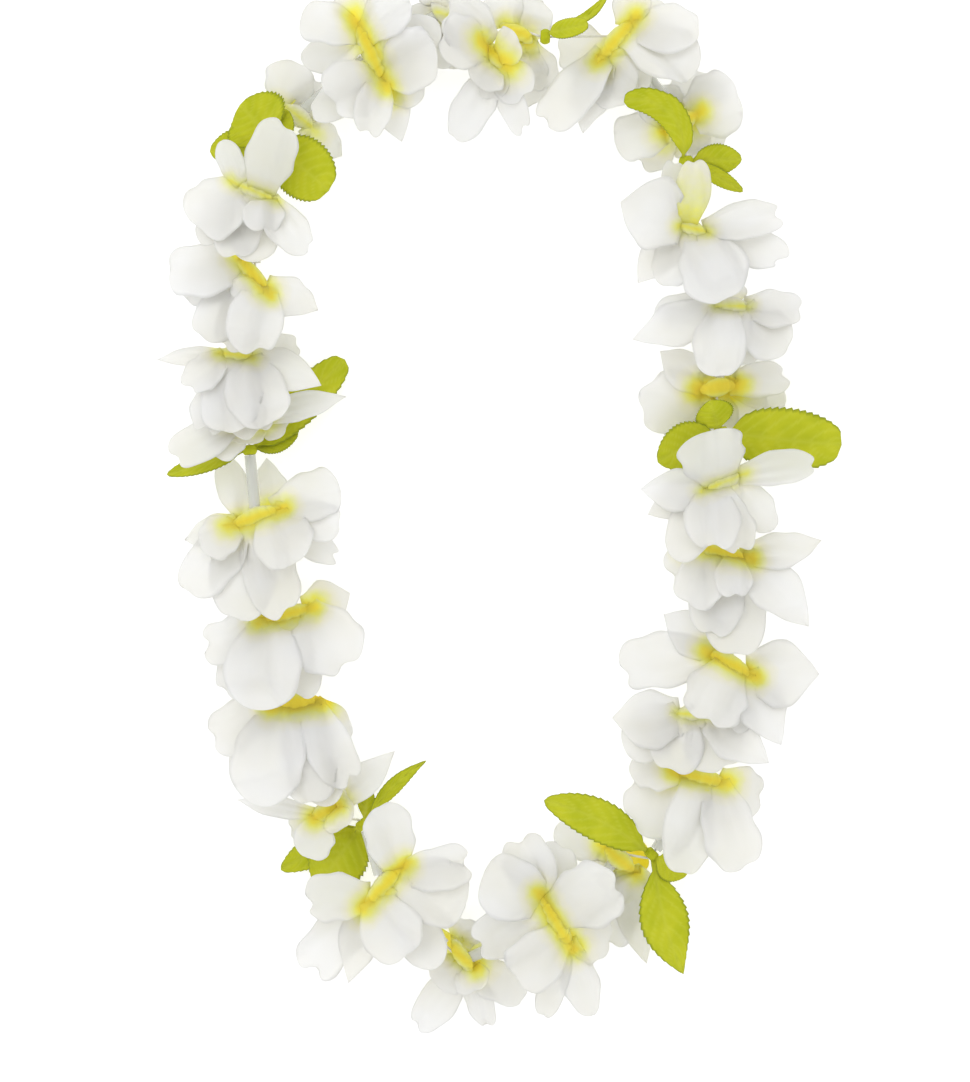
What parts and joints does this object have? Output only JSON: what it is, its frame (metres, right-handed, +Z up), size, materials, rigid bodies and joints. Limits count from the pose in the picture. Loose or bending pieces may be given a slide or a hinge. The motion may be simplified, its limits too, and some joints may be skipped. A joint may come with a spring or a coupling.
{
  "type": "artificial flower lei",
  "caption": "Garland for wearing round the neck: cloth blooms, cloth leaf sprays and clear straw spacers threaded on one knotted string, laid flat in a long open loop.",
  "frame": {"origin": "centre of the bounding box's base, on the surface that the lei lies on", "axes": "+Z up from the surface, +Y along the long way of the loop, +X across it"},
  "size_m": [0.2967, 0.4564, 0.0483],
  "materials": {
    "white_cloth": "matt woven cloth, yellow at the throat",
    "green_cloth": "matt woven cloth with pressed veins",
    "clear_straw": "clear thin-walled plastic",
    "string": "twisted thread"
  },
  "bodies": {
    "root": {"bloom_01": "white_cloth", "bloom_02": "white_cloth", "bloom_03": "white_cloth", "bloom_04": "white_cloth", "bloom_05": "white_cloth", "bloom_06": "white_cloth", "bloom_07": "white_cloth", "bloom_08": "white_cloth", "bloom_09": "white_cloth", "bloom_10": "white_cloth", "bloom_11": "white_cloth", "bloom_12": "white_cloth", "bloom_13": "white_cloth", "bloom_14": "white_cloth", "bloom_15": "white_cloth", "bloom_16": "white_cloth", "bloom_17": "white_cloth", "bloom_18": "white_cloth", "bloom_19": "white_cloth", "bloom_20": "white_cloth", "bloom_21": "white_cloth", "bloom_22": "white_cloth", "bloom_23": "white_cloth", "bloom_24": "white_cloth", "bloom_25": "white_cloth", "bloom_26": "white_cloth", "bloom_27": "white_cloth", "leaf_spray_1": "green_cloth", "leaf_spray_2": "green_cloth", "leaf_spray_3": "green_cloth", "leaf_spray_4": "green_cloth", "leaf_spray_5": "green_cloth", "leaf_spray_6": "green_cloth", "leaf_spray_7": "green_cloth", "spacer_01": "clear_straw", "spacer_02": "clear_straw", "spacer_03": "clear_straw", "spacer_04": "clear_straw", "spacer_05": "clear_straw", "spacer_06": "clear_straw", "spacer_07": "clear_straw", "spacer_08": "clear_straw", "spacer_09": "clear_straw", "spacer_10": "clear_straw", "spacer_11": "clear_straw", "spacer_12": "clear_straw", "spacer_13": "clear_straw", "spacer_14": "clear_straw", "spacer_15": "clear_straw", "spacer_16": "clear_straw", "spacer_17": "clear_straw", "spacer_18": "clear_straw", "spacer_19": "clear_straw", "spacer_20": "clear_straw", "spacer_21": "clear_straw", "spacer_22": "clear_straw", "spacer_23": "clear_straw", "spacer_24": "clear_straw", "string": "string"}
  },
  "joints": []
}
